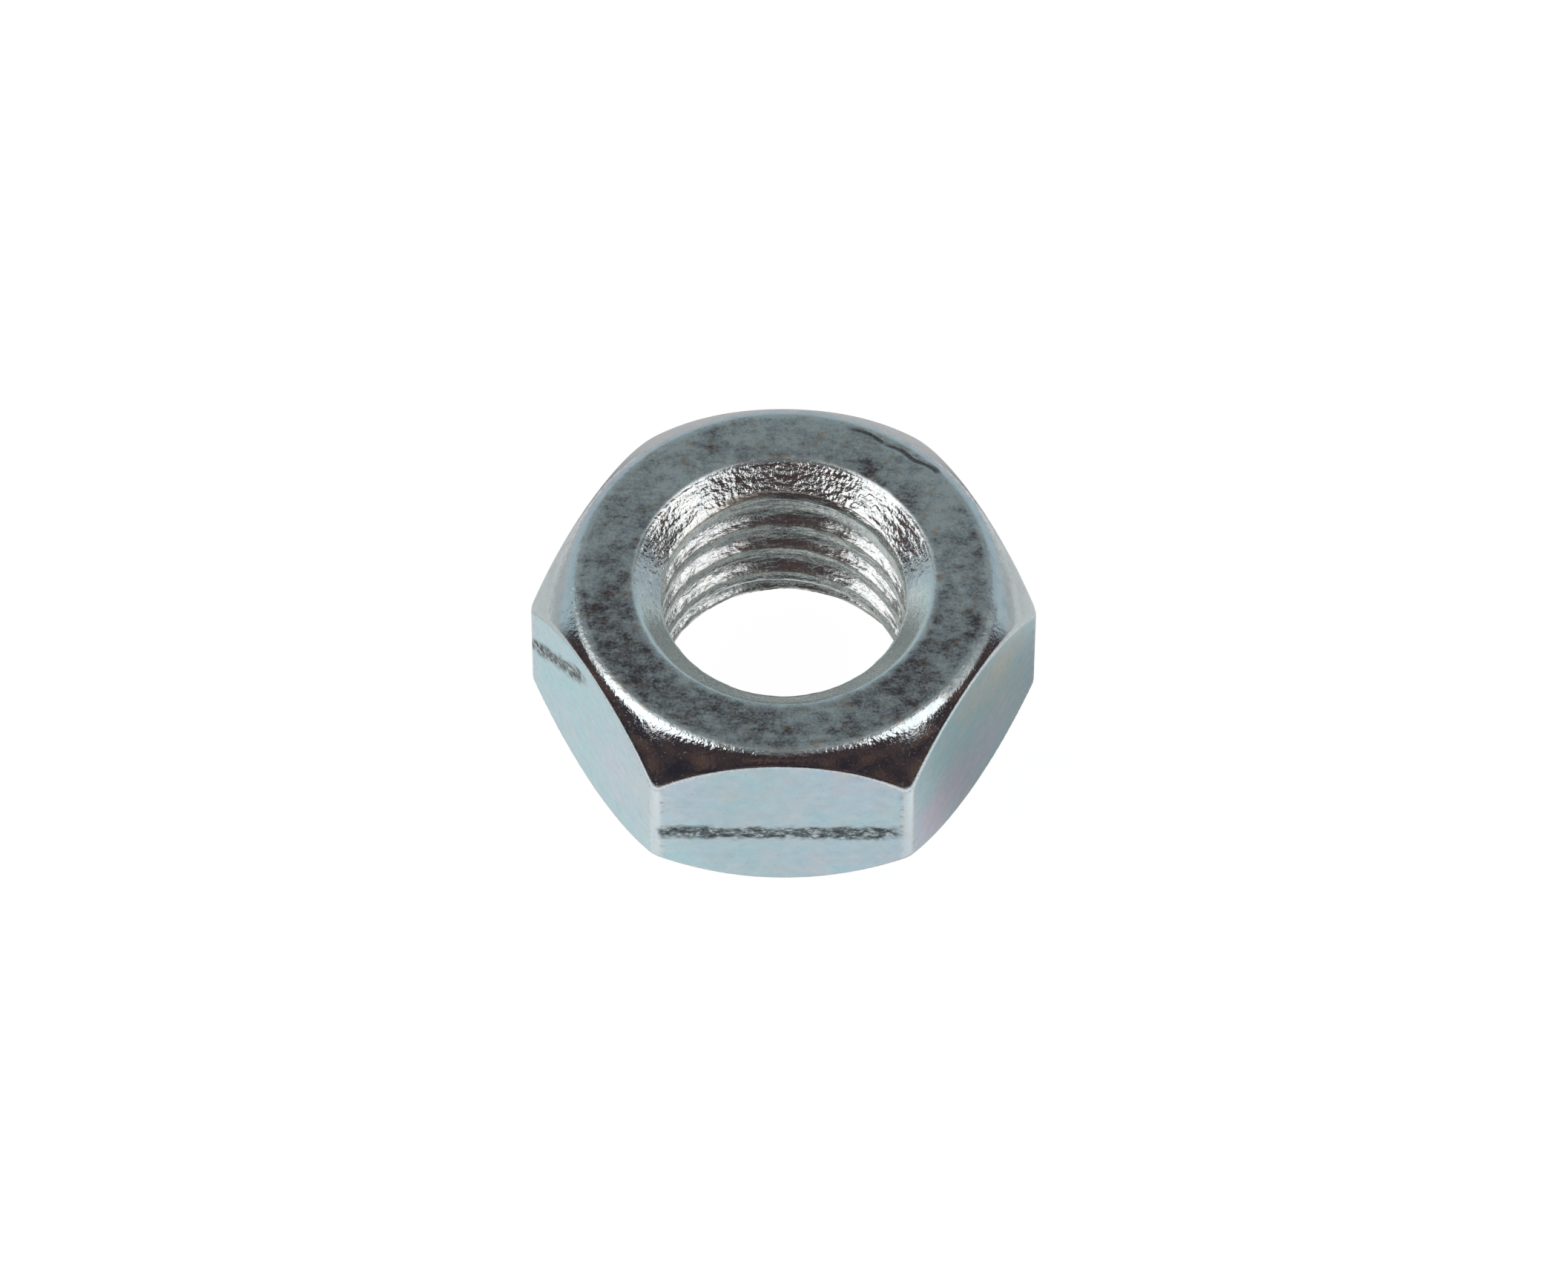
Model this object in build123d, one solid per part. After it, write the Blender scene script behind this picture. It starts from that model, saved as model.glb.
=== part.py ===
"""Hex nut, cold forged, with both ends chamfered and a right-hand metric coarse thread.

Frame: +Z up along the thread, origin at the centre of the lower bearing face,
two opposite corners of the hexagon on the X axis. Sizes are in millimetres.
"""
import os
from math import radians, tan

from build123d import *
from build123d.topology import SkipClean

# Thread: nominal diameter 14, coarse pitch 2, 60 degree form
NOMINAL_DIAMETER = 14.0
PITCH = 2.0
MINOR_DIAMETER = 12.2
FLANK_ANGLE = 30.0
ROOT_WIDTH = PITCH / 8
GROOVE_START = -1.005  # height of the groove's lower end, on the +X side
GROOVE_TURNS = 6
GROOVE_OVERLAP = 0.3

# Hexagon
ACROSS_FLATS = 22.0
HEIGHT = 10.7
CORNER_RADIUS = 0.7

# Chamfers: each is a convex ring that starts at the rim of a bearing face
RIM_RADIUS = 10.42
RIM_ROUNDING = 0.45
UPPER_DROP_AT_FLAT = 0.50
UPPER_DROP_AT_CORNER = 2.56
LOWER_DROP_AT_FLAT = 0.58
LOWER_DROP_AT_CORNER = 2.37

# Countersinks at both ends of the thread
SINK_DIAMETER = 15.0
SINK_INCLUDED_ANGLE = 92.0
SINK_LIP_ROUNDING = 0.3

# The wall of the bore is made in equal sectors
BORE_SECTORS = 6

# How far cutting bodies stand clear of the nut, and how close two radii count as one
MARGIN = 1.0
SAME_RADIUS = 0.01

INNER_FLAT_RADIUS = ACROSS_FLATS / 2
CORNER_REACH = INNER_FLAT_RADIUS / tan(radians(60)) * 2 - CORNER_RADIUS * (2 / tan(radians(60)) - 1)
MINOR_RADIUS = MINOR_DIAMETER / 2
MAJOR_RADIUS = NOMINAL_DIAMETER / 2
SINK_RADIUS = SINK_DIAMETER / 2
SINK_DEPTH = (SINK_RADIUS - MINOR_RADIUS) / tan(radians(SINK_INCLUDED_ANGLE / 2))


def circles(solid, radius):
    """Circular edges of a solid that have the given radius."""
    rims = solid.edges().filter_by(GeomType.CIRCLE)
    return rims.filter_by(lambda rim: abs(rim.radius - radius) < SAME_RADIUS)


def hexagonal_bar():
    """The hexagon at full height, with its upright edges rounded."""
    outline = RegularPolygon(INNER_FLAT_RADIUS, 6, major_radius=False, rotation=0)
    bar = extrude(outline, HEIGHT)
    return fillet(bar.edges().filter_by(Axis.Z), CORNER_RADIUS)


def chamfer_arc(face_height, drop_at_flat, drop_at_corner, outward):
    """Convex arc from the rim of a face, past the flats, to beyond the corners."""
    return ThreePointArc(
        (RIM_RADIUS, 0, face_height),
        (INNER_FLAT_RADIUS, 0, face_height - outward * drop_at_flat),
        (CORNER_REACH, 0, face_height - outward * drop_at_corner),
    )


def chamfered_envelope():
    """Solid of revolution that turns both ends of the bar down to convex chamfers."""
    upper = chamfer_arc(HEIGHT, UPPER_DROP_AT_FLAT, UPPER_DROP_AT_CORNER, 1)
    lower = chamfer_arc(0, LOWER_DROP_AT_FLAT, LOWER_DROP_AT_CORNER, -1)
    beyond = CORNER_REACH + MARGIN
    outline = [
        Line((0, 0, 0), lower @ 0),
        lower,
        Polyline(lower @ 1, (beyond, 0, (lower @ 1).Z), (beyond, 0, (upper @ 1).Z), upper @ 1),
        upper,
        Line(upper @ 0, (0, 0, HEIGHT)),
        Line((0, 0, HEIGHT), (0, 0, 0)),
    ]
    section = make_face(outline)
    turned = revolve(section, Axis.Z)
    return fillet(circles(turned, RIM_RADIUS), RIM_ROUNDING)


def countersink(face_height, outward):
    """Cone that opens one end of the bore, with a margin beyond the face."""
    widening = MARGIN * tan(radians(SINK_INCLUDED_ANGLE / 2))
    profile = Polyline(
        (0, 0, face_height + outward * MARGIN),
        (SINK_RADIUS + widening, 0, face_height + outward * MARGIN),
        (MINOR_RADIUS, 0, face_height - outward * SINK_DEPTH),
        (0, 0, face_height - outward * SINK_DEPTH),
        close=True,
    )
    return revolve(make_face(profile), Axis.Z)


def bore_sector(index):
    """One sector of the plain bore at the minor diameter."""
    turn = 360 / BORE_SECTORS
    wall = CenterArc((0, 0), MINOR_RADIUS, 0, turn)
    pie = make_face([Line((0, 0), wall @ 0), wall, Line(wall @ 1, (0, 0))])
    return Rot(0, 0, index * turn) * extrude(pie, HEIGHT)


def groove_turn(start):
    """One full turn of the right-hand helical groove, from a start height on the +X side."""
    inner = MINOR_RADIUS - GROOVE_OVERLAP
    inner_half_width = ROOT_WIDTH / 2 + (MAJOR_RADIUS - inner) * tan(radians(FLANK_ANGLE))
    section = make_face(
        Polyline(
            (inner, 0, start - inner_half_width),
            (MAJOR_RADIUS, 0, start - ROOT_WIDTH / 2),
            (MAJOR_RADIUS, 0, start + ROOT_WIDTH / 2),
            (inner, 0, start + inner_half_width),
            close=True,
        )
    )
    path = Pos(0, 0, start) * Helix(PITCH, PITCH, MINOR_RADIUS)
    return sweep(section, path, is_frenet=True)


def hex_nut():
    """The whole nut, one piece of steel."""
    blank = hexagonal_bar() & chamfered_envelope()
    blank = blank - countersink(HEIGHT, 1) - countersink(0, -1)
    nut = fillet(circles(blank, SINK_RADIUS), SINK_LIP_ROUNDING)
    with SkipClean():
        nut = nut.cut(*[bore_sector(index) for index in range(BORE_SECTORS)])
        for turn in range(GROOVE_TURNS):
            nut = nut.cut(groove_turn(GROOVE_START + turn * PITCH))
    return nut


os.makedirs("parts", exist_ok=True)
nut = hex_nut()
nut.label = "hex_nut"
export_step(nut, "parts/hex_nut.step")
print("hex_nut", "volume", round(nut.volume, 1), "mm3, box", nut.bounding_box())
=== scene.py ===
"""Looks of the hex nut: one finely shaped piece of zinc-plated steel on a pale floor."""
import math

import bpy
import numpy as np
from mathutils import Matrix, Vector


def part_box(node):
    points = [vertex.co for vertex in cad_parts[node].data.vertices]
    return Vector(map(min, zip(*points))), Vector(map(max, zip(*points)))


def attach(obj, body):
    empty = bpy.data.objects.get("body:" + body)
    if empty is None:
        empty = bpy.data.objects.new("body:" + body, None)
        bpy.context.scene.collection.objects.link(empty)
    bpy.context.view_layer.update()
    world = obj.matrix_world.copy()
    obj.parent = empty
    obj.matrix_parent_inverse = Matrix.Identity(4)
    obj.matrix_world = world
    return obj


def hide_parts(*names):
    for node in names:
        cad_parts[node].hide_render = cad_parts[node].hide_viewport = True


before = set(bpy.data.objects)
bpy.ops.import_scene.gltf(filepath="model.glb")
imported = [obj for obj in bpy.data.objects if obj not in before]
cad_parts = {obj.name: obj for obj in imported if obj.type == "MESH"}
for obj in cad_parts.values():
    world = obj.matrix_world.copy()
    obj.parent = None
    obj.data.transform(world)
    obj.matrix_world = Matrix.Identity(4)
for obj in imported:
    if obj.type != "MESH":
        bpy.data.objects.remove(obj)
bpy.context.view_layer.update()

# ---------------------------------------------------------------- sizes, in millimetres
MM = 0.001
low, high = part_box("hex_nut")
HEIGHT = (high.z - low.z) / MM
APOTHEM = (high.y - low.y) / 2 / MM
BOX_LOW = np.array(low) / MM
BOX_HIGH = np.array(high) / MM
CORNER_RADIUS = 0.70
HALF_FLAT = math.pi / 6                # half the angle that a flat takes up, in radians

RIM_RADIUS = 10.42
RIM_SOFTNESS = 0.32
UPPER_CHAMFER = (0.50, 0.977, 0.198)   # drop, slope and growth of the slope, counted from the flats
LOWER_CHAMFER = (0.58, 1.025, 0.062)
CHAMFER_EDGE_SOFTNESS = 0.12
PROFILE_REACH = APOTHEM + 2.2          # the turned profile runs out past the corners

PITCH = 2.0
MINOR_RADIUS = 6.1
MAJOR_RADIUS = 7.0
ROOT_HALF_WIDTH = PITCH / 16
FLANK_SLOPE = math.tan(math.radians(30))
GROOVE_START = 0.995
CREST_EDGE = ROOT_HALF_WIDTH + (MAJOR_RADIUS - MINOR_RADIUS) * FLANK_SLOPE
CREST_SOFTNESS = 0.50
SINK_EDGE_SOFTNESS = 0.14
RUN_OUT = (8.2, 9.0)                   # heights between which the last turn of the groove runs out
ROOT_SOFTNESS = 0.10

SINK_RADIUS = 7.5
SINK_SLOPE = math.tan(math.radians(46))
SINK_SOFTNESS = 0.24
LIP_INNER_RADIUS = 7.1                 # where the rows change from rings to heights

# rows and columns of the mesh: how far apart, and where they are closer
LIP_SPACING = 0.04
FACE_SPACING = 0.075
RIM_SPACING = 0.045
LOWER_COARSENESS = 1.5                 # the hidden end's rows are this much further apart
SIDE_SPACING = 0.12
CREASE_SPACING = 0.06
CREASE_TOP = 5.6
CREASE_BOTTOM = 3.6
LOWER_SINK_SPACING = 0.08
THREAD_SPACING = 0.055
THREAD_TOP = 9.0
THREAD_BOTTOM = 1.3
SINK_SPACING = 0.035
COLUMNS = 840
CORNER_CROWDING = 0.5                  # 0 spaces the columns evenly

# marks along circles about the axis: radius, start and stop in degrees, half width
FOLD = (10.05, 36, 74, 0.21)
PRESSED_RING = (10.22, 205, 335, 0.10)
DULL_SHADED_RIM_RIGHT = (RIM_RADIUS, 316, 356, 0.42)
DULL_SHADED_RIM_LEFT = (RIM_RADIUS, 186, 216, 0.36)

# painted shadow on the floor that the metal reflects: x, y, inner and outer radius, narrowing; amount
DIM_FLOOR = (
    ((10, 0, 5, 12.5), 0.50),              # right of the nut
    ((2, -16, 5, 13), 0.20),               # in front
    ((-15, -3, 7, 15), 0.14),              # left
    ((0, 1.2, 3.7, 4.5, 2.0), 0.77),       # strip inside the hole
    ((0, 38, 22, 30), 0.36),               # behind
    ((-36, 20, 16, 26), 0.24),             # behind, left
    ((36, 20, 16, 26), 0.24),              # behind, right
)
SOFTBOX_DISTANCE = 0.9                     # metres
GLOW_DEPTH = 0.00002                       # metres below the floor
BUMP_DEPTH = 0.00004                       # metres, for the finest grain


# ---------------------------------------------------------------- small mathematics
def smooth_max(a, b, softness):
    """The greater of a and b, with the corner between them rounded."""
    overlap = np.maximum(softness - np.abs(a - b), 0) / softness
    return np.maximum(a, b) + overlap * overlap * softness / 4


def smooth_min(a, b, softness):
    return -smooth_max(-a, -b, softness)


def smooth_step(low_edge, high_edge, value):
    t = np.clip((value - low_edge) / (high_edge - low_edge), 0, 1)
    return t * t * (3 - 2 * t)


def hash_grid(ix, iy, iz, seed):
    """A repeatable number from -1 to 1 for each lattice point, by multiplying with large odd numbers."""
    full_word = 0xFFFFFFFF
    h = ix * 374761393 + iy * 668265263 + iz * 1440670441 + seed * 1274126177
    h = (h ^ (h >> 13)) * 1103515245 & full_word
    h = (h ^ (h >> 16)) * 668265263 & full_word
    h = h ^ (h >> 15)
    return 2 * h / (full_word + 1) - 1.0


def noise(x, y, z, seed):
    """Gradient noise, about -1 to 1, one cell per unit."""
    ix, iy, iz = (np.floor(c).astype(np.int64) for c in (x, y, z))
    fx, fy, fz = x - ix, y - iy, z - iz
    wx, wy, wz = (f * f * f * (f * (f * 6 - 15) + 10) for f in (fx, fy, fz))
    total = 0
    for dx in (0, 1):
        for dy in (0, 1):
            for dz in (0, 1):
                gx = hash_grid(ix + dx, iy + dy, iz + dz, seed)
                gy = hash_grid(ix + dx, iy + dy, iz + dz, seed + 17)
                gz = hash_grid(ix + dx, iy + dy, iz + dz, seed + 31)
                dot = gx * (fx - dx) + gy * (fy - dy) + gz * (fz - dz)
                weight = (wx if dx else 1 - wx) * (wy if dy else 1 - wy) * (wz if dz else 1 - wz)
                total = total + weight * dot
    return total * 1.6


def cells(x, y, z, seed):
    """Distance to the nearest of scattered points, one point per unit cell."""
    ix, iy, iz = (np.floor(c).astype(np.int64) for c in (x, y, z))
    nearest = np.full(x.shape, 9.0)
    for dx in (-1, 0, 1):
        for dy in (-1, 0, 1):
            for dz in (-1, 0, 1):
                cx, cy, cz = ix + dx, iy + dy, iz + dz
                px = cx + 0.5 + 0.45 * hash_grid(cx, cy, cz, seed)
                py = cy + 0.5 + 0.45 * hash_grid(cx, cy, cz, seed + 7)
                pz = cz + 0.5 + 0.45 * hash_grid(cx, cy, cz, seed + 13)
                gap = (px - x) ** 2 + (py - y) ** 2 + (pz - z) ** 2
                nearest = np.minimum(nearest, gap)
    return np.sqrt(nearest)


# ---------------------------------------------------------------- shape of the nut
def turn_from_flat(angle):
    """Angle to the middle of the nearest flat; the flats face -90 degrees and every 60 on."""
    return np.abs((angle + math.pi / 2 + HALF_FLAT) % (2 * HALF_FLAT) - HALF_FLAT)


def hexagon_radius(angle):
    """Distance from the axis to the rounded hexagon."""
    turn = turn_from_flat(angle)
    flat = APOTHEM / np.cos(turn)
    core = APOTHEM - CORNER_RADIUS
    centre = core / math.cos(HALF_FLAT)
    tangent = math.atan2(core * math.tan(HALF_FLAT), APOTHEM)
    beside = HALF_FLAT - turn
    reach = np.maximum(CORNER_RADIUS ** 2 - (centre * np.sin(beside)) ** 2, 0)
    corner = centre * np.cos(beside) + np.sqrt(reach)
    return np.where(turn > tangent, corner, flat)


def face_drop(radius, chamfer):
    """How far an end of the nut lies below its bearing face at a radius."""
    drop_at_flat, slope, growth = chamfer
    out = np.maximum(radius, RIM_RADIUS - 1) - APOTHEM
    turned = drop_at_flat + slope * out + growth * out * out
    sunk = (SINK_RADIUS - radius) / SINK_SLOPE
    return smooth_max(turned, 0 * radius, RIM_SOFTNESS) + smooth_max(sunk, 0 * radius, SINK_SOFTNESS)


def bore_radius(angle, height):
    """Radius of the threaded hole, opened by a countersink at each end."""
    groove_centre = GROOVE_START + PITCH * angle / (2 * math.pi)
    along = (height - groove_centre + PITCH / 2) % PITCH - PITCH / 2
    shallow = (MAJOR_RADIUS - MINOR_RADIUS) * smooth_step(*RUN_OUT, height - along)
    flank = MAJOR_RADIUS - (np.abs(along) - ROOT_HALF_WIDTH) / FLANK_SLOPE - shallow
    groove = smooth_min(flank, MAJOR_RADIUS + 0 * flank, ROOT_SOFTNESS)
    thread = smooth_max(groove, MINOR_RADIUS + 0 * groove, CREST_SOFTNESS)
    upper_sink = SINK_RADIUS - (HEIGHT - height) * SINK_SLOPE
    lower_sink = SINK_RADIUS - height * SINK_SLOPE
    sink = np.maximum(upper_sink, lower_sink)
    # ragged edges: where each crest meets its groove, and where the thread meets a countersink
    edge = 0.7 * np.exp(-((along + CREST_EDGE) / 0.045) ** 2) * (shallow < 0.3)
    edge = np.maximum(edge, np.exp(-((sink - thread) / 0.075) ** 2))
    return smooth_max(thread, sink, SINK_EDGE_SOFTNESS), sink - thread, edge


def corner_weight(angle):
    """1 on the rounded upright edges, 0 on the flats."""
    along = APOTHEM * np.tan(turn_from_flat(angle))
    start = (APOTHEM - CORNER_RADIUS) * math.tan(HALF_FLAT)
    return smooth_step(start - 0.20, start + 0.16, along)


def column_angles():
    """Angles of the columns, closer together at the six corners."""
    even = 2 * math.pi * np.arange(COLUMNS) / COLUMNS
    return even - CORNER_CROWDING / 6 * np.sin(6 * even)


def steps(start, stop, spacing):
    count = max(2, int(abs(stop - start) / spacing))
    return np.linspace(start, stop, count, endpoint=False)


def ring_radii(coarseness):
    """Radii of the rings over an end of the nut, from the countersink out past the corners."""
    lip_end = SINK_RADIUS + 0.3
    rim_start = RIM_RADIUS - 0.5
    rim_end = RIM_RADIUS + 0.5
    return np.concatenate([
        steps(LIP_INNER_RADIUS, lip_end, LIP_SPACING * coarseness),
        steps(lip_end, rim_start, FACE_SPACING * coarseness),
        steps(rim_start, rim_end, RIM_SPACING * coarseness),
        steps(rim_end, PROFILE_REACH, FACE_SPACING * coarseness),
    ])


def nut_grid():
    """Radius and height of every grid point, and weights that say what kind of surface it is on."""
    angle = column_angles()[None, :]
    hexagon = hexagon_radius(angle)
    ones = np.ones_like(hexagon)

    def end_rows(chamfer, upper, coarseness):
        turned = ring_radii(coarseness)[:, None] * ones
        drop = face_drop(turned, chamfer)
        radius = smooth_min(turned, hexagon, CHAMFER_EDGE_SOFTNESS)
        height = HEIGHT - drop if upper else drop
        flat = smooth_step(0.0, CHAMFER_EDGE_SOFTNESS, turned - hexagon)
        face = smooth_step(SINK_RADIUS - 0.05, SINK_RADIUS + 0.12, turned)
        face = face * smooth_step(RIM_RADIUS + 0.05, RIM_RADIUS - 0.2, turned)
        sink = smooth_step(SINK_RADIUS + 0.05, SINK_RADIUS - 0.15, turned)
        rim = smooth_step(RIM_RADIUS - 0.30, RIM_RADIUS, turned)
        rim = rim * smooth_step(RIM_RADIUS + 0.75, RIM_RADIUS, turned)
        zero = 0 * sink
        return dict(radius=radius, height=height, flat=flat, face=face, sink=sink, thread=zero,
                    land=zero, rim=rim, edge=zero, up=zero + upper)

    def side_rows(start, stop):
        height = np.concatenate([
            steps(start, CREASE_TOP, SIDE_SPACING)[1:],
            steps(CREASE_TOP, CREASE_BOTTOM, CREASE_SPACING),
            steps(CREASE_BOTTOM, stop, SIDE_SPACING),
        ])[:, None] * ones
        zero = 0 * height
        return dict(radius=hexagon + zero, height=height, flat=1 + zero, face=zero, sink=zero,
                    thread=zero, land=zero, rim=zero, edge=zero, up=zero)

    def bore_rows(start, stop):
        height = np.concatenate([
            steps(start, THREAD_BOTTOM, LOWER_SINK_SPACING)[1:],
            steps(THREAD_BOTTOM, THREAD_TOP, THREAD_SPACING),
            steps(THREAD_TOP, stop, SINK_SPACING),
        ])[:, None] * ones
        radius, sunk, edge = bore_radius(angle + 0 * height, height)
        sink = smooth_step(-0.05, 0.10, sunk)
        land = smooth_step(MINOR_RADIUS + 0.12, MINOR_RADIUS + 0.03, radius)
        zero = 0 * height
        return dict(radius=radius, height=height, flat=zero, face=zero, sink=sink,
                    thread=1 - sink, land=land, rim=zero, edge=edge, up=zero + (height > HEIGHT / 2))

    upper = end_rows(UPPER_CHAMFER, True, 1.0)
    lower = end_rows(LOWER_CHAMFER, False, LOWER_COARSENESS)
    lower = {key: rows[::-1] for key, rows in lower.items()}
    side = side_rows(upper["height"][-1, 0], lower["height"][0, 0])
    bore = bore_rows(lower["height"][-1, 0], upper["height"][0, 0])
    parts = (upper, side, lower, bore)
    grid = {key: np.concatenate([part[key] for part in parts]) for key in upper}
    grid["angle"] = angle + 0 * grid["radius"]
    grid["corner"] = corner_weight(grid["angle"]) * grid["flat"]
    return grid


def grid_points(grid):
    x = grid["radius"] * np.cos(grid["angle"])
    y = grid["radius"] * np.sin(grid["angle"])
    return np.stack([x, y, grid["height"]], axis=-1)


def grid_normals(points):
    """Outward normals of a grid that closes on itself both ways."""
    down = np.roll(points, -1, axis=0) - np.roll(points, 1, axis=0)
    around = np.roll(points, -1, axis=1) - np.roll(points, 1, axis=1)
    normal = np.cross(down, around)
    return normal / np.linalg.norm(normal, axis=-1, keepdims=True)


# ---------------------------------------------------------------- marks left by forging and handling
# creases: facing angle of the flat, start (along the flat, height), stop, half width, strength
CREASES = (
    (-90, (-6.2, 4.50), (6.2, 4.62), 0.52, 1.0),
    (-150, (-6.5, 5.10), (-0.3, 9.3), 0.50, 0.85),
)


def crease_weight(x, y, z):
    """1 on the torn lines that forging leaves across some flats, else 0."""
    weight = 0 * x
    ragged = 0.5 * noise(x * 1.1, y * 1.1, z * 1.1, 71) + 0.4 * noise(x * 3.4, y * 3.4, z * 5.0, 72)
    for facing, start, stop, half_width, strength in CREASES:
        turn = math.radians(facing)
        along = -x * math.sin(turn) + y * math.cos(turn)
        outward = x * math.cos(turn) + y * math.sin(turn)
        run, rise = stop[0] - start[0], stop[1] - start[1]
        length = math.hypot(run, rise)
        forward = ((along - start[0]) * run + (z - start[1]) * rise) / length
        aside = np.abs((z - start[1]) * run - (along - start[0]) * rise) / length
        here = 1 - smooth_step(0.25, 1.35, aside / half_width + 0.75 * ragged)
        here = here * smooth_step(-0.1, 0.5, forward + 0.4 * ragged)
        here = here * smooth_step(-0.1, 1.2, length - forward + 0.4 * ragged)
        here = here * smooth_step(APOTHEM - 0.12, APOTHEM - 0.03, outward)
        weight = np.maximum(weight, strength * here)
    return weight


def arc_mark(x, y, arc, wander=0.0):
    """1 along part of a circle about the axis, which may wander in radius, else 0."""
    radius, start, stop, half_width = arc
    fade = 6                               # degrees at each end
    away = np.abs(np.hypot(x, y) - radius - wander) / half_width
    turn = np.degrees(np.arctan2(y, x)) % 360
    ends = smooth_step(start, start + fade, turn) * smooth_step(stop, stop - fade, turn)
    return ends * (1 - smooth_step(0.3, 1.0, away))


def face_marks(x, y, z, grid):
    """Pressed grain of the bearing faces, and the curved fold and ring in the upper one."""
    relief = grid["face"] * 0.004 * (noise(x * 1.3, y * 1.3, z, 2) + noise(x * 3.9, y * 3.9, z, 3))
    wander = 0.18 * noise(x * 0.7, y * 0.7, z, 21)
    fold = arc_mark(x, y, FOLD, 1.5 * wander) * grid["up"]
    shallow = smooth_step(0.15, 0.45, noise(x * 1.1, y * 1.1, z, 24) + 0.07 * (x - 6.2))
    fold = fold * (1 - 0.75 * shallow)
    ring = arc_mark(x, y, PRESSED_RING, 0.3 * wander) * grid["up"]
    return relief - 0.05 * fold + 0.010 * ring, fold


def sink_marks(x, y, z, grid):
    """Countersinks: hammered, less so at the sides, and the upper one is worn smooth on the near side."""
    sink, up, angle = grid["sink"], grid["up"], grid["angle"]
    far_side = smooth_step(-0.25, 0.15, np.sin(angle - math.radians(8)))
    hammered_side = 1 - up * (1 - far_side) * 0.93
    sides = smooth_step(0.20, 0.55, np.abs(np.cos(angle)))
    hammered = 0.55 - cells(x * 4.8, y * 4.8, z * 4.8, 5)
    ripples = noise(x * 0.7, y * 0.7, z * 6.0, 6)
    finer = noise(x * 6.5, y * 6.5, z * 6.5, 7)
    relief = (0.060 - 0.046 * sides) * hammered + 0.012 * ripples + 0.006 * finer
    relief = sink * hammered_side * relief
    chatter = sink * hammered_side * (1 - 0.5 * sides) * up
    satin = sink * (1 - hammered_side)
    return relief, chatter, satin


def thread_marks(x, y, z, grid):
    """Streaks that the tap leaves along the thread, and ragged raised edges of the crests."""
    around = noise(x * 0.6, y * 0.6, z * 4.2, 8) + 0.6 * noise(x * 1.4, y * 1.4, z * 7.0, 18)
    torn = 0.55 - cells(x * 2.4, y * 2.4, z * 5.0, 9)
    finer = noise(x * 6.5, y * 6.5, z * 6.5, 7)
    relief = grid["thread"] * (0.018 * around + 0.011 * torn + 0.004 * finer)
    return relief + grid["edge"] * (0.040 + 0.020 * noise(x * 2.2, y * 2.2, z * 2, 23))


def outside_marks(x, y, z, grid):
    """Fine skin of the flats, pits of the chamfers, and rough edges between them and down the corners."""
    flat = grid["flat"]
    chamfer = np.clip(1 - grid["face"] - grid["sink"] - flat - grid["thread"], 0, 1)
    relief = flat * 0.002 * noise(x * 0.9, y * 0.9, z * 0.9, 10)
    pits = smooth_step(0.55, 0.9, noise(x * 4.1, y * 4.1, z * 4.1, 14))
    relief += chamfer * (0.0014 * noise(x * 1.2, y * 1.2, z * 1.2, 11) - 0.006 * pits)
    border = 4 * flat * (1 - flat)
    relief += border * 0.010 * noise(x * 3.6, y * 3.6, z * 3.6, 15)
    relief += flat * grid["corner"] * 0.006 * noise(x * 2.8, y * 2.8, z * 2.2, 16)
    return relief


def marks(points, grid):
    """Small relief over the true shape in millimetres, and weights of the marks."""
    x, y, z = points[..., 0], points[..., 1], points[..., 2]
    # the face's dull, dark skin runs over the rim at the sides: rougher, and painted shade that takes
    # away the rim's highlight there
    dull_shaded_rim = np.maximum(arc_mark(x, y, DULL_SHADED_RIM_RIGHT), 0.5 * arc_mark(x, y, DULL_SHADED_RIM_LEFT))
    grid["face"] = np.maximum(grid["face"], grid["up"] * dull_shaded_rim * (1 - grid["flat"]))
    uneven = 0.006 * noise(x * 0.25, y * 0.25, z * 0.25, 1) * (1 - grid["thread"])
    face_relief, fold = face_marks(x, y, z, grid)
    sink_relief, chatter, satin = sink_marks(x, y, z, grid)
    crease = crease_weight(x, y, z)
    crumpled = noise(x * 2.0, y * 2.0, z * 3.4, 12) + 0.7 * noise(x * 4.4, y * 4.4, z * 6.0, 13)
    relief = uneven + face_relief + sink_relief + crease * (0.050 * crumpled - 0.030)
    relief += thread_marks(x, y, z, grid) + outside_marks(x, y, z, grid)
    return relief, dict(crease=crease, fold=fold, chatter=chatter, satin=satin)


def patch(x, y, z, centre, radius):
    """Soft round patch that is 1 at its centre."""
    gap = (x - centre[0]) ** 2 + (y - centre[1]) ** 2 + (z - centre[2]) ** 2
    return np.exp(-gap / radius ** 2)


def on_flat(facing, along, height):
    """Point on a flat, from its facing angle and the place on it."""
    turn = math.radians(facing)
    x = APOTHEM * math.cos(turn) - along * math.sin(turn)
    y = APOTHEM * math.sin(turn) + along * math.cos(turn)
    return (x, y, height)


# interference colours of the passivation film
PALE_BLUE = (0.68, 0.80, 0.87)
CYAN = (0.55, 0.82, 0.86)
TEAL = (0.54, 0.84, 0.89)
LAVENDER = (0.73, 0.77, 0.92)
PINK = (0.77, 0.70, 0.83)
STRAW = (0.84, 0.88, 0.78)
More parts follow.
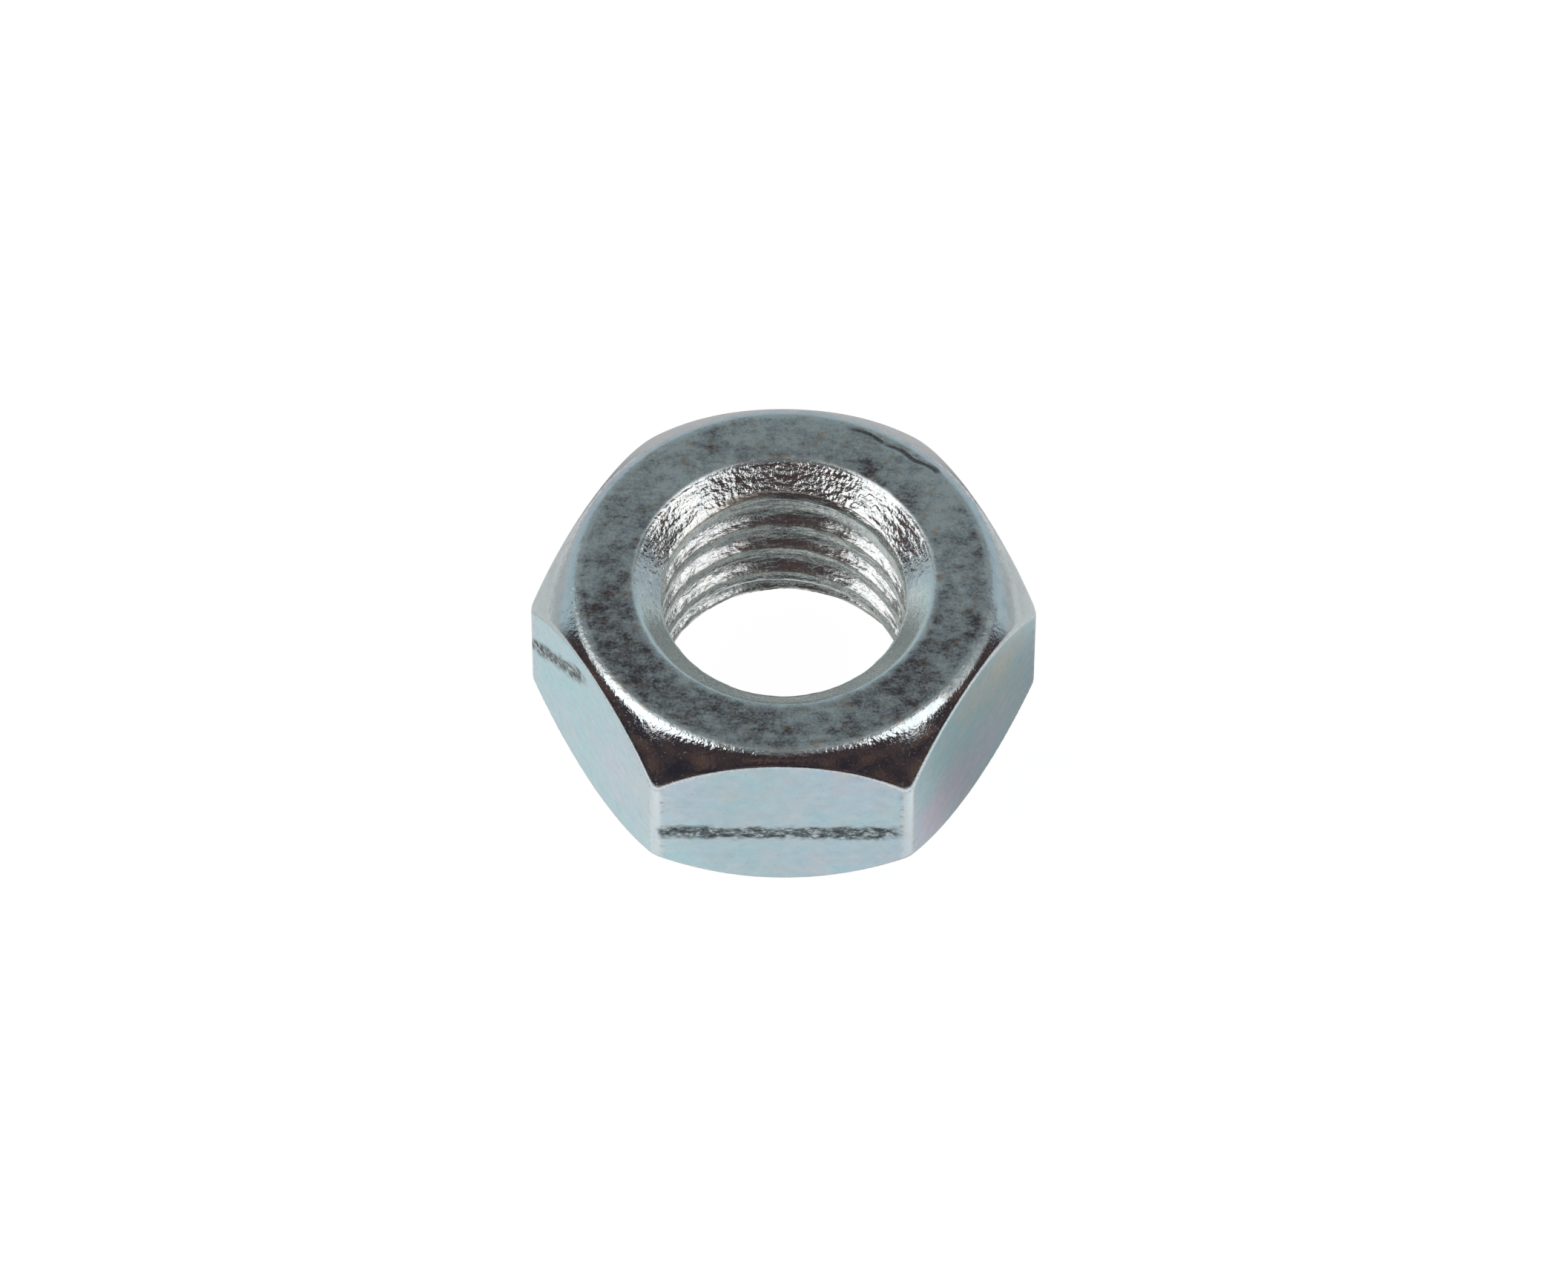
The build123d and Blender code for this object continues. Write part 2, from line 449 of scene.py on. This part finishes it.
# pale and dark patches of the upper face: place, radius, amount
FACE_PATCHES = (
    ((7.4, 5.6), 1.2, 0.45),
    ((6.1, 4.9), 0.8, -0.60),
    ((4.3, 6.7), 0.8, -0.45),
    ((7.6, 3.8), 1.0, 0.30),
    ((-5.2, 6.2), 1.3, 0.35),
    ((-2.2, 9.0), 1.4, 0.20),
    ((1.2, 8.6), 1.2, 0.25),
    ((-8.6, -2.4), 1.8, -0.25),
    ((-3.5, 8.1), 0.9, -0.25),
    ((8.9, 1.2), 1.7, 0.22),
    ((6.4, -6.3), 1.7, -0.25),
    ((-7.4, -5.4), 2.0, -0.20),
)
FILM_PATCHES = (
    (on_flat(-90, 0.0, 6.0), 5.0, PALE_BLUE, 0.9),
    (on_flat(-150, -1.0, 5.0), 9.0, CYAN, 1.0),
    (on_flat(-150, 2.4, 5.0), 2.2, LAVENDER, 0.6),
    (on_flat(-150, -3.2, 3.2), 1.8, LAVENDER, 0.35),
    (on_flat(-150, 5.2, 6.5), 1.5, STRAW, 0.30),
    (on_flat(-30, 0.0, 5.0), 8.0, TEAL, 1.0),
    (on_flat(-30, 2.6, 8.0), 1.8, STRAW, 0.85),
    (on_flat(-30, -0.4, 8.6), 1.6, STRAW, 0.45),
    (on_flat(-30, -3.6, 3.6), 2.4, PINK, 0.95),
    (on_flat(-30, -1.0, 2.2), 2.0, PINK, 0.55),
    (on_flat(-30, 3.0, 4.0), 1.6, STRAW, 0.35),
    (on_flat(-30, 1.0, 3.0), 2.4, LAVENDER, 0.6),
    (on_flat(-30, -3.4, 7.4), 2.2, TEAL, 0.9),
)


def film_colour(points, grid):
    """Colour of the metal under its clear film, at each grid point."""
    x, y, z = points[..., 0], points[..., 1], points[..., 2]
    drift = noise(x * 0.16, y * 0.16, z * 0.22, 41) + 0.4 * noise(x * 0.6, y * 0.6, z * 0.7, 42)
    stops = np.array([TEAL, CYAN, PALE_BLUE, LAVENDER, PINK, STRAW, CYAN])
    place = np.clip(0.38 + 0.4 * drift, 0, 1) * (len(stops) - 1)
    colour = np.stack([np.interp(place, np.arange(len(stops)), stops[:, c]) for c in range(3)], axis=-1)
    for centre, radius, tint, strength in FILM_PATCHES:
        amount = (strength * patch(x, y, z, centre, radius))[..., None]
        colour = colour * (1 - amount) + np.array(tint) * amount
    smudges = noise(x * 0.9, y * 0.9, z * 1.1, 43)[..., None]
    cloudy = noise(x * 1.6, y * 1.6, z * 2.2, 44) + 0.7 * noise(x * 3.6, y * 3.6, z * 5.0, 45)
    warmth = np.array([1.2, -0.2, -0.6])
    colour = colour + 0.055 * smudges * warmth + 0.045 * cloudy[..., None]
    return np.clip(colour, 0, 1)


def face_tone_and_painted_light(points):
    """Large uneven tone of the bearing faces, 0 dark and 1 pale, with paler rings by the rim and the near
    side of the countersink; painted light makes the faces paler towards the back.
    """
    x, y, z = points[..., 0], points[..., 1], points[..., 2]
    # painted light: the faces are coloured paler towards the back
    tone_and_painted_light = 0.30 + 0.36 * smooth_step(-4, 9, y)
    tone_and_painted_light = tone_and_painted_light + 0.16 * patch(x, y, z, (0, -9, HEIGHT), 3.2)
    tone_and_painted_light = tone_and_painted_light + 0.30 * noise(x * 0.45, y * 0.45, z * 0.45, 51)
    tone_and_painted_light = tone_and_painted_light + 0.22 * noise(x * 1.2, y * 1.2, z, 52)
    out = np.hypot(x, y)
    inner_ring = smooth_step(7.95, 7.65, out) * smooth_step(3, -3, y)
    outer_ring = smooth_step(9.95, 10.2, out)
    tone_and_painted_light = tone_and_painted_light + 0.40 * (inner_ring + outer_ring)
    for centre, reach, amount in FACE_PATCHES:
        tone_and_painted_light = tone_and_painted_light + amount * patch(x, y, z, (*centre, HEIGHT), reach)
    return np.clip(tone_and_painted_light, 0, 1)


def build_nut():
    """The nut as one closed mesh of quads, with the surface weights as attributes."""
    grid = nut_grid()
    points = grid_points(grid)
    normals = grid_normals(points)
    relief, weights = marks(points, grid)
    colour = film_colour(points, grid)
    tone_and_painted_light = face_tone_and_painted_light(points)
    points = points + normals * relief[..., None]
    points = np.clip(points, BOX_LOW, BOX_HIGH)
    rows, columns = grid["radius"].shape
    first = np.arange(rows)[:, None] * columns + np.arange(columns)[None, :]
    below = np.roll(first, -1, axis=0)
    quads = np.stack([first, below, np.roll(below, -1, axis=1), np.roll(first, -1, axis=1)], axis=-1)
    mesh = bpy.data.meshes.new("hex_nut_body")
    mesh.vertices.add(rows * columns)
    mesh.vertices.foreach_set("co", (points * MM).astype(np.float32).ravel())
    mesh.loops.add(quads.size)
    mesh.loops.foreach_set("vertex_index", quads.astype(np.int32).ravel())
    mesh.polygons.add(rows * columns)
    mesh.polygons.foreach_set("loop_start", np.arange(0, quads.size, 4, dtype=np.int32))
    mesh.polygons.foreach_set("use_smooth", np.ones(rows * columns, dtype=bool))
    mesh.update(calc_edges=True)
    weights["tone_and_painted_light"] = tone_and_painted_light
    for name in ("face", "sink", "thread", "land", "flat", "corner", "rim", "edge"):
        weights[name] = grid[name]
    for name, weight in weights.items():
        layer = mesh.attributes.new(name, "FLOAT", "POINT")
        layer.data.foreach_set("value", weight.astype(np.float32).ravel())
    film = mesh.attributes.new("film", "FLOAT_COLOR", "POINT")
    rgba = np.concatenate([colour, np.ones_like(colour[..., :1])], axis=-1)
    film.data.foreach_set("color", rgba.astype(np.float32).ravel())
    nut = bpy.data.objects.new("hex_nut_body", mesh)
    bpy.context.scene.collection.objects.link(nut)
    return nut


# ---------------------------------------------------------------- zinc plating
class Nodes:
    """Short names for making and linking shader nodes."""

    def __init__(self, tree):
        self.tree = tree
        tree.nodes.clear()

    def new(self, kind, **values):
        node = self.tree.nodes.new(kind)
        for name, value in values.items():
            if name in node.inputs:
                node.inputs[name].default_value = value
            else:
                setattr(node, name, value)
        return node

    def link(self, source, target):
        self.tree.links.new(source, target)

    def math(self, operation, a, b=None, clamp=False):
        node = self.new("ShaderNodeMath", operation=operation, use_clamp=clamp)
        for socket, value in zip(node.inputs, (a, b)):
            if value is None:
                continue
            if isinstance(value, (int, float)):
                socket.default_value = value
            else:
                self.link(value, socket)
        return node.outputs[0]

    def plus(self, a, b):
        return self.math("ADD", a, b)

    def minus(self, a, b):
        return self.math("SUBTRACT", a, b)

    def times(self, a, b, clamp=False):
        return self.math("MULTIPLY", a, b, clamp)

    def noise(self, vector, scale, detail=2.0, roughness=0.5):
        node = self.new("ShaderNodeTexNoise", Scale=scale, Detail=detail, Roughness=roughness)
        self.link(vector, node.inputs["Vector"])
        return node.outputs["Fac"]

    def stretched(self, vector, scale, turn=0.0):
        node = self.new("ShaderNodeMapping")
        node.inputs["Rotation"].default_value = (0, 0, turn)
        node.inputs["Scale"].default_value = scale
        self.link(vector, node.inputs["Vector"])
        return node.outputs[0]

    def blend(self, *terms, base):
        """base plus each weight times its amount, never below 0."""
        total = base
        for weight, amount in terms:
            total = self.plus(self.times(weight, amount), total)
        return self.math("MAXIMUM", total, 0.0)

    def fade(self, value, start, stop):
        """0 at start and 1 at stop, smooth between them."""
        node = self.new("ShaderNodeMapRange", interpolation_type="SMOOTHSTEP")
        node.inputs["From Min"].default_value = start
        node.inputs["From Max"].default_value = stop
        self.link(value, node.inputs["Value"])
        return node.outputs[0]

    def weight(self, name):
        return self.new("ShaderNodeAttribute", attribute_name=name).outputs["Fac"]

    def ramp(self, factor, stops):
        node = self.new("ShaderNodeValToRGB")
        ramp = node.color_ramp
        while len(ramp.elements) < len(stops):
            ramp.elements.new(0.5)
        for element, (position, colour) in zip(ramp.elements, stops):
            element.position = position
            element.color = (*colour, 1)
        self.link(factor, node.inputs["Fac"])
        return node.outputs["Color"]

    def product(self, a, b):
        node = self.new("ShaderNodeMix", data_type="RGBA", blend_type="MULTIPLY")
        node.inputs[0].default_value = 1.0
        self.link(a, node.inputs[6])
        self.link(b, node.inputs[7])
        return node.outputs[2]

    def mix(self, factor, a, b):
        node = self.new("ShaderNodeMix", data_type="RGBA")
        self.link(factor, node.inputs[0])
        self.link(a, node.inputs[6])
        self.link(b, node.inputs[7])
        return node.outputs[2]


def grained_slate(n, place, tone_and_painted_light):
    """Colour of the bearing faces: soft teal-grey mottle, dark short strokes and a few rusty specks."""
    mottle = n.noise(place, 1300, 4, 0.6)
    grain = n.noise(place, 7500, 3, 0.6)
    strokes = n.noise(n.stretched(place, (0.45, 1.0, 1.0), 0.35), 3600, 3, 0.6)
    # this weight carries random tone and painted light: the faces paler towards the back
    tone = n.blend((mottle, 0.36), (grain, 0.36), (strokes, 0.35), (tone_and_painted_light, 0.24), base=0.0)
    slate = n.ramp(tone, [
        (0.48, (0.13, 0.118, 0.125)),
        (0.56, (0.27, 0.275, 0.285)),
        (0.64, (0.44, 0.49, 0.505)),
        (0.78, (0.66, 0.74, 0.74)),
    ])
    rust = n.ramp(n.plus(n.noise(place, 1500, 2, 0.5), n.times(grain, 0.3)), [
        (0.74, (1.0, 1.0, 1.0)),
        (0.80, (0.92, 0.78, 0.68)),
    ])
    return n.product(slate, rust)


def crease_dirt_and_shade(n, level):
    """Colour in the creases: dark teal dirt and painted shade between pale torn metal."""
    return n.ramp(n.noise(level, 2600, 4, 0.7), [
        (0.41, (0.08, 0.10, 0.105)),
        (0.52, (0.22, 0.27, 0.285)),
        (0.63, (0.70, 0.80, 0.83)),
    ])


def bare_zinc(n, place, swept, land, satin, edge, flat):
    """Colour of the chamfers, countersinks and thread."""
    zinc = n.ramp(n.noise(place, 1400, 3, 0.65), [
        (0.30, (0.68, 0.71, 0.71)),
        (0.50, (0.81, 0.85, 0.85)),
        (0.68, (0.88, 0.87, 0.84)),
    ])
    green = n.ramp(n.noise(swept, 2600, 2, 0.5), [(0.3, (0.42, 0.55, 0.54)), (0.7, (0.68, 0.80, 0.77))])
    zinc = n.mix(n.times(land, 0.32), zinc, green)
    teal = n.ramp(n.noise(place, 900, 3, 0.6), [(0.35, (0.84, 0.98, 0.95)), (0.65, (0.96, 1.0, 0.99))])
    zinc = n.mix(n.times(satin, 0.9), zinc, teal)
    cream = n.ramp(n.noise(place, 5000, 2, 0.5), [(0.35, (0.70, 0.68, 0.58)), (0.6, (0.97, 0.96, 0.88))])
    zinc = n.mix(edge, zinc, cream)
    soiled = n.ramp(n.noise(place, 6000, 3, 0.7), [
        (0.40, (0.28, 0.26, 0.25)),
        (0.60, (0.70, 0.70, 0.68)),
    ])
    border = n.times(flat, n.minus(1.0, flat))
    return n.mix(n.times(border, 3.6, clamp=True), zinc, soiled)


def chatter_marks(n, place, swept):
    """Steps that the countersink's cutter leaves: broad treads that face up, with thin sharp rises."""
    depth = n.new("ShaderNodeSeparateXYZ")
    n.link(place, depth.inputs[0])
    wander = n.plus(n.noise(place, 900, 2, 0.5), n.times(n.noise(swept, 3800, 2, 0.6), 0.9))
    wander = n.plus(wander, n.times(n.noise(place, 3800, 2, 0.6), 0.8))
    steps_up = n.plus(n.times(depth.outputs["Z"], 5400.0), n.times(wander, 1.6))
    return n.minus(1.0, n.math("FRACT", steps_up))


def zinc_plating():
    """Bright zinc with a clear blue passivation: smooth on the flats, grained on the faces."""
    material = bpy.data.materials.new("zinc_plating")
    material.use_nodes = True
    n = Nodes(material.node_tree)
    place = n.new("ShaderNodeTexCoord").outputs["Object"]
    names = ("face", "sink", "thread", "land", "flat", "crease", "fold", "corner", "rim", "edge")
    face, sink, thread, land, flat, crease, fold, corner, rim, edge = (n.weight(name) for name in names)
    chatter, satin, tone_and_painted_light = n.weight("chatter"), n.weight("satin"), n.weight("tone_and_painted_light")
    film = n.new("ShaderNodeAttribute", attribute_name="film").outputs["Color"]
    level = n.stretched(place, (1.0, 1.0, 1.7))
    swept = n.stretched(place, (0.22, 0.22, 1.0))

    specks = n.ramp(n.noise(place, 6000, 3, 0.7), [
        (0.29, (0.60, 0.64, 0.66)),
        (0.36, (0.96, 0.97, 0.98)),
        (0.60, (1.0, 1.0, 1.0)),
    ])
    outside = n.blend((face, -0.25), (sink, -0.25), (thread, -0.25), (flat, 0.75), base=0.25)
    colour = n.mix(outside, bare_zinc(n, place, swept, land, satin, edge, flat), n.product(film, specks))
    # the rounded corners are coloured paler: worn metal and a painted highlight along them
    rubbed_and_highlight = n.ramp(n.noise(place, 5200, 3, 0.7), [
        (0.30, (0.72, 0.80, 0.83)),
        (0.48, (0.88, 0.95, 0.97)),
    ])
    colour = n.mix(n.times(corner, 0.62), colour, rubbed_and_highlight)
    beside = n.times(corner, n.minus(1.0, corner))
    stained = n.times(n.minus(n.noise(level, 1700, 5, 0.75), 0.50), 8.0, clamp=True)
    dirt = n.ramp(n.noise(place, 4200, 2, 0.6), [(0.3, (0.22, 0.21, 0.20)), (0.7, (0.50, 0.50, 0.48))])
    colour = n.mix(n.times(n.times(beside, 2.6), stained, clamp=True), colour, dirt)
    colour = n.mix(face, colour, grained_slate(n, place, tone_and_painted_light))
    # painted shade: the creases in the flats are coloured dark, partly as dirt
    colour = n.mix(n.times(crease, 1.4, clamp=True), colour, crease_dirt_and_shade(n, level))
    # painted shade: the fold in the upper face is coloured near black
    painted_fold_shade = n.ramp(n.noise(place, 9000, 2, 0.6), [(0.3, (0.04, 0.04, 0.045)), (0.7, (0.16, 0.16, 0.17))])
    colour = n.mix(n.times(fold, 0.85), colour, painted_fold_shade)

    uneven = n.noise(place, 5200, 3, 0.6)
    dull = n.times(n.minus(n.noise(place, 6800, 2, 0.6), 0.56), 5.0, clamp=True)
    matt = n.times(dull, n.blend((flat, -0.3), (face, -0.2), (sink, -0.2), (rim, -0.15), base=0.3))
    rough = n.blend((face, 0.30), (flat, 0.12), (crease, 0.14), (sink, 0.09), (thread, 0.12),
                    (edge, 0.14), (satin, 0.08), (uneven, 0.08), (matt, 1.0), base=0.04)

    # pressed grain, ragged rims, hammered cells in the countersinks, ripples along the thread
    grained = n.blend((face, 0.44), (flat, -0.02), (corner, 0.12), (crease, 0.35), base=0.08)
    grain = n.times(n.noise(place, 10000, 3, 0.7), grained)
    ragged = n.times(n.noise(place, 4400, 2, 0.5), n.blend((rim, 0.68), (flat, -0.10), base=0.12))
    hammer = n.new("ShaderNodeTexVoronoi", Scale=5600.0)
    n.link(place, hammer.inputs["Vector"])
    hammer = n.times(hammer.outputs["Distance"], n.times(sink, -0.10))
    ripple = n.times(n.noise(swept, 5000, 3, 0.6), n.blend((thread, 1.7), (sink, 0.3), base=0.0))
    treads = n.times(chatter_marks(n, place, swept), chatter)
    height = n.blend((grain, 1.0), (ragged, 1.0), (hammer, 1.0), (ripple, 1.0), (treads, 1.5), base=1.0)
    bump = n.new("ShaderNodeBump", Strength=1.0, Distance=BUMP_DEPTH)
    n.link(height, bump.inputs["Height"])

    shader = n.new("ShaderNodeBsdfPrincipled", Metallic=1.0)
    n.link(colour, shader.inputs["Base Color"])
    n.link(rough, shader.inputs["Roughness"])
    n.link(bump.outputs["Normal"], shader.inputs["Normal"])
    out = n.new("ShaderNodeOutputMaterial")
    n.link(shader.outputs[0], out.inputs["Surface"])
    return material


# ---------------------------------------------------------------- studio
def floor_plane(name, height):
    """Large level square."""
    reach = 6.0
    outline = ((-reach, -reach), (reach, -reach), (reach, reach), (-reach, reach))
    mesh = bpy.data.meshes.new(name)
    mesh.from_pydata([(x, y, height) for x, y in outline], [], [(0, 1, 2, 3)])
    plane = bpy.data.objects.new(name, mesh)
    bpy.context.scene.collection.objects.link(plane)
    return plane


def floor():
    """Plain pale floor."""
    plane = floor_plane("floor", 0.0)
    plane.visible_glossy = False
    material = bpy.data.materials.new("pale_floor")
    material.use_nodes = True
    n = Nodes(material.node_tree)
    shader = n.new("ShaderNodeBsdfPrincipled", Roughness=0.9)
    shader.inputs["Base Color"].default_value = (0.14, 0.14, 0.14, 1)
    shader.inputs["Emission Color"].default_value = (1, 1, 1, 1)
    shader.inputs["Emission Strength"].default_value = 0.96
    shader.inputs["Specular IOR Level"].default_value = 0.0
    out = n.new("ShaderNodeOutputMaterial")
    n.link(shader.outputs[0], out.inputs["Surface"])
    plane.data.materials.append(material)


def floor_glow():
    """Glowing sheet that stands in for the floor in the metal's reflections: painted light near the nut,
    painted shadow inside the hole and in its lee.
    """
    plane = floor_plane("floor_glow", -GLOW_DEPTH)
    plane.visible_camera = False
    plane.visible_diffuse = False
    plane.visible_shadow = False
    material = bpy.data.materials.new("floor_glow")
    material.use_nodes = True
    n = Nodes(material.node_tree)
    place = n.new("ShaderNodeTexCoord").outputs["Object"]

    def around(x, y, inner, outer, narrow=1.0):
        gap = n.new("ShaderNodeVectorMath", operation="DISTANCE")
        n.link(n.stretched(place, (narrow, 1, 1)), gap.inputs[0])
        gap.inputs[1].default_value = (x * narrow * MM, y * MM, 0)
        return n.fade(gap.outputs["Value"], outer * MM, inner * MM)

    light = n.plus(0.42, n.times(around(0, 0, 30, 120), 0.42))
    for place_and_reach, amount in DIM_FLOOR:
        light = n.minus(light, n.times(around(*place_and_reach), amount))
    light = n.math("MAXIMUM", light, 0.07)
    shader = n.new("ShaderNodeEmission")
    n.link(light, shader.inputs["Strength"])
    out = n.new("ShaderNodeOutputMaterial")
    n.link(shader.outputs[0], out.inputs["Surface"])
    plane.data.materials.append(material)


def direction(azimuth, elevation):
    """Unit vector; azimuth 0 is the camera's side, and it grows towards the right."""
    a, e = math.radians(azimuth), math.radians(elevation)
    return Vector((math.sin(a) * math.cos(e), -math.cos(a) * math.cos(e), math.sin(e)))


def softbox(name, middle, facing, width, height, radiance, roll):
    """Upright rectangular light; middle and facing are azimuth and elevation as seen from the nut."""
    data = bpy.data.lights.new(name, "AREA")
    data.shape = "RECTANGLE"
    data.size = width
    data.size_y = height
    data.energy = radiance * math.pi * width * height
    lamp = bpy.data.objects.new(name, data)
    lamp.location = direction(*middle) * SOFTBOX_DISTANCE
    away = direction(*facing)
    side = Vector((0, 0, 1)).cross(away).normalized()
    turn = Matrix((side, away.cross(side), away)).transposed()
    spin = Matrix.Rotation(math.radians(roll), 3, away)
    lamp.rotation_euler = (spin @ turn).to_euler()
    lamp.visible_camera = False
    bpy.context.scene.collection.objects.link(lamp)


def studio_world():
    """Dim room in front, a bright backdrop low behind; the camera itself sees only pale grey."""
    world = bpy.data.worlds.new("studio")
    bpy.context.scene.world = world
    world.use_nodes = True
    n = Nodes(world.node_tree)
    place = n.new("ShaderNodeTexCoord").outputs["Generated"]
    split = n.new("ShaderNodeSeparateXYZ")
    n.link(place, split.inputs[0])
    warm = n.ramp(n.noise(place, 9.0, 3, 0.6), [
        (0.50, (0.024, 0.022, 0.030)),
        (0.61, (0.140, 0.082, 0.064)),
    ])
    ceiling = n.ramp(n.noise(place, 2.0, 1, 0.5), [
        (0.30, (0.170, 0.185, 0.190)),
        (0.70, (0.200, 0.210, 0.215)),
    ])
    backdrop = n.ramp(split.outputs["Z"], [
        (0.0, (0.42, 0.50, 0.55)),
        (0.6, (0.36, 0.43, 0.46)),
        (1.0, (0.30, 0.30, 0.30)),
    ])
    behind = n.fade(split.outputs["Y"], 0.30, 0.42)
    room = n.mix(n.math("MAXIMUM", n.fade(split.outputs["Z"], 0.93, 0.99), behind), warm, ceiling)
    room = n.mix(n.times(behind, n.fade(split.outputs["Z"], 0.80, 0.55)), room, backdrop)
    seen = n.new("ShaderNodeLightPath").outputs["Is Camera Ray"]
    pale = n.new("ShaderNodeRGB")
    pale.outputs[0].default_value = (0.93, 0.93, 0.93, 1)
    back = n.new("ShaderNodeBackground")
    n.link(n.mix(seen, room, pale.outputs[0]), back.inputs["Color"])
    out = n.new("ShaderNodeOutputWorld")
    n.link(back.outputs[0], out.inputs["Surface"])


def camera():
    """The photograph's view: high in front of one flat, through a long lens."""
    azimuth, elevation, roll = 0.21, 54.53, math.radians(-0.28)
    distance = 0.567
    aim = Vector((0.03, -0.05, 5.32)) * MM
    back = direction(azimuth, elevation)
    right = Vector((math.cos(math.radians(azimuth)), math.sin(math.radians(azimuth)), 0))
    up = back.cross(right)
    side = right * math.cos(roll) - up * math.sin(roll)
    top = right * math.sin(roll) + up * math.cos(roll)
    data = bpy.data.cameras.new("camera")
    data.sensor_width = 36
    data.lens = 260
    data.clip_start = 0.01
    data.clip_end = 50
    eye = bpy.data.objects.new("camera", data)
    turn = Matrix((side, top, back)).transposed().to_4x4()
    eye.matrix_world = Matrix.Translation(aim + back * distance) @ turn
    bpy.context.scene.collection.objects.link(eye)
    bpy.context.scene.camera = eye


# ---------------------------------------------------------------- the scene
camera()
nut = build_nut()
nut.data.materials.append(zinc_plating())
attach(nut, "root")
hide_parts("hex_nut")
floor()
floor_glow()
studio_world()
softbox("left_softbox", middle=(-80, 60), facing=(-96, 10),
        width=0.61, height=0.85, radiance=1.3, roll=-3.5)
softbox("right_softbox", middle=(77, 59), facing=(102, 7),
        width=0.55, height=0.89, radiance=1.2, roll=1.0)
bpy.context.scene.view_settings.view_transform = "Standard"
